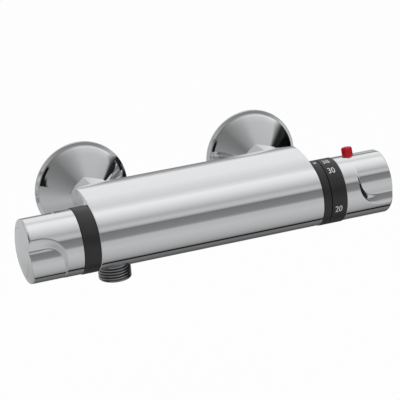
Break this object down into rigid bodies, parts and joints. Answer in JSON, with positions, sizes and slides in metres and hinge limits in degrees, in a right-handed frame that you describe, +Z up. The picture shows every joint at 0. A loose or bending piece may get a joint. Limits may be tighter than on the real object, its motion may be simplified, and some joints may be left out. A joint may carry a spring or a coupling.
{
  "type": "thermostatic shower valve",
  "caption": "Wall-mounted chrome bar valve that mixes hot and cold water for a shower, with a temperature handle and red safety button on one end and a flow handle on the other.",
  "frame": {"origin": "on the finished wall, midway between the axes of the two supply pipes", "axes": "+X along the bar from the flow handle to the temperature handle, +Y into the wall, +Z up"},
  "size_m": [0.3129, 0.1295, 0.0885],
  "materials": {
    "chrome": "polished chrome plate",
    "black_ring": "satin black plastic with printed numbers",
    "red_button": "gloss",
    "brass": "turned, unplated",
    "wax_copper": "drawn copper",
    "steel": "stainless",
    "rubber": "matt",
    "ceramic": "lapped alumina ceramic",
    "white_acetal": "moulded",
    "blue_acetal": "moulded"
  },
  "bodies": {
    "valve_body": {"body_casting": "chrome", "outlet_nipple": "chrome", "outlet_o_ring": "rubber", "index_ring": "black_ring", "flow_headwork": "brass", "headwork_o_rings": "rubber", "disc_seal": "rubber", "fixed_disc": "ceramic", "flow_stop_ring": "white_acetal", "thermostat_housing": "brass", "thermostat_o_rings": "rubber", "mix_seat": "brass", "return_spring": "steel", "temperature_stop_ring": "white_acetal", "hot_inlet_tail": "brass", "cold_inlet_tail": "brass", "hot_check_sleeve": "blue_acetal", "cold_check_sleeve": "blue_acetal", "hot_check_spring": "steel", "cold_check_spring": "steel", "hot_union_nut": "chrome", "cold_union_nut": "chrome", "hot_filter_washer": "rubber", "cold_filter_washer": "rubber", "hot_eccentric": "brass", "cold_eccentric": "brass", "hot_flange": "chrome", "cold_flange": "chrome", "hot_flange_seal": "rubber", "cold_flange_seal": "rubber"},
    "flow_control": {"flow_handle": "chrome", "flow_ring": "black_ring", "flow_handle_cap": "chrome", "flow_handle_screw": "steel", "flow_spindle": "brass", "flow_spindle_o_rings": "rubber", "flow_circlip": "steel", "moving_disc": "ceramic"},
    "temperature_control": {"temperature_handle": "chrome", "scale_ring": "black_ring", "temperature_handle_cap": "chrome", "temperature_handle_screw": "steel", "temperature_spindle": "brass", "temperature_spindle_o_rings": "rubber", "temperature_circlip": "steel", "button_spring": "steel"},
    "safety_catch": {"safety_button": "red_button"},
    "mixing_slide": {"adjusting_cup": "brass", "overload_spring": "steel", "overload_cap": "brass", "wax_element": "wax_copper", "mixing_shuttle": "brass"},
    "hot_check": {"hot_check_poppet": "white_acetal"},
    "cold_check": {"cold_check_poppet": "white_acetal"}
  },
  "joints": [
    {"name": "flow_turn", "type": "hinge", "parent": "valve_body", "child": "flow_control", "pos_m": [-0.12, -0.087, 0], "axis": [1, 0, 0], "range_deg": [0, 90]},
    {"name": "temperature_turn", "type": "hinge", "parent": "valve_body", "child": "temperature_control", "pos_m": [0.12, -0.087, 0], "axis": [1, 0, 0], "range_deg": [-115, 50]},
    {"name": "shuttle_slide", "type": "slide", "parent": "valve_body", "child": "mixing_slide", "axis": [1, 0, 0], "range_m": [-0.00195, 0.00085], "deforming": ["return_spring"]},
    {"name": "safety_press", "type": "slide", "parent": "temperature_control", "child": "safety_catch", "axis": [0, -0.2588, -0.9659], "range_m": [0, 0.0025], "stiffness_N_per_m": 600, "springref_m": -0.002, "deforming": ["button_spring"]},
    {"name": "hot_check_lift", "type": "slide", "parent": "valve_body", "child": "hot_check", "axis": [0, -1, 0], "range_m": [0, 0.0045], "stiffness_N_per_m": 150, "springref_m": -0.002, "deforming": ["hot_check_spring"]},
    {"name": "cold_check_lift", "type": "slide", "parent": "valve_body", "child": "cold_check", "axis": [0, -1, 0], "range_m": [0, 0.0045], "stiffness_N_per_m": 150, "springref_m": -0.002, "deforming": ["cold_check_spring"]}
  ],
  "couplings": [
    {"joint": "shuttle_slide", "follows": "temperature_turn", "m_per_rad": 0.00095493}
  ]
}
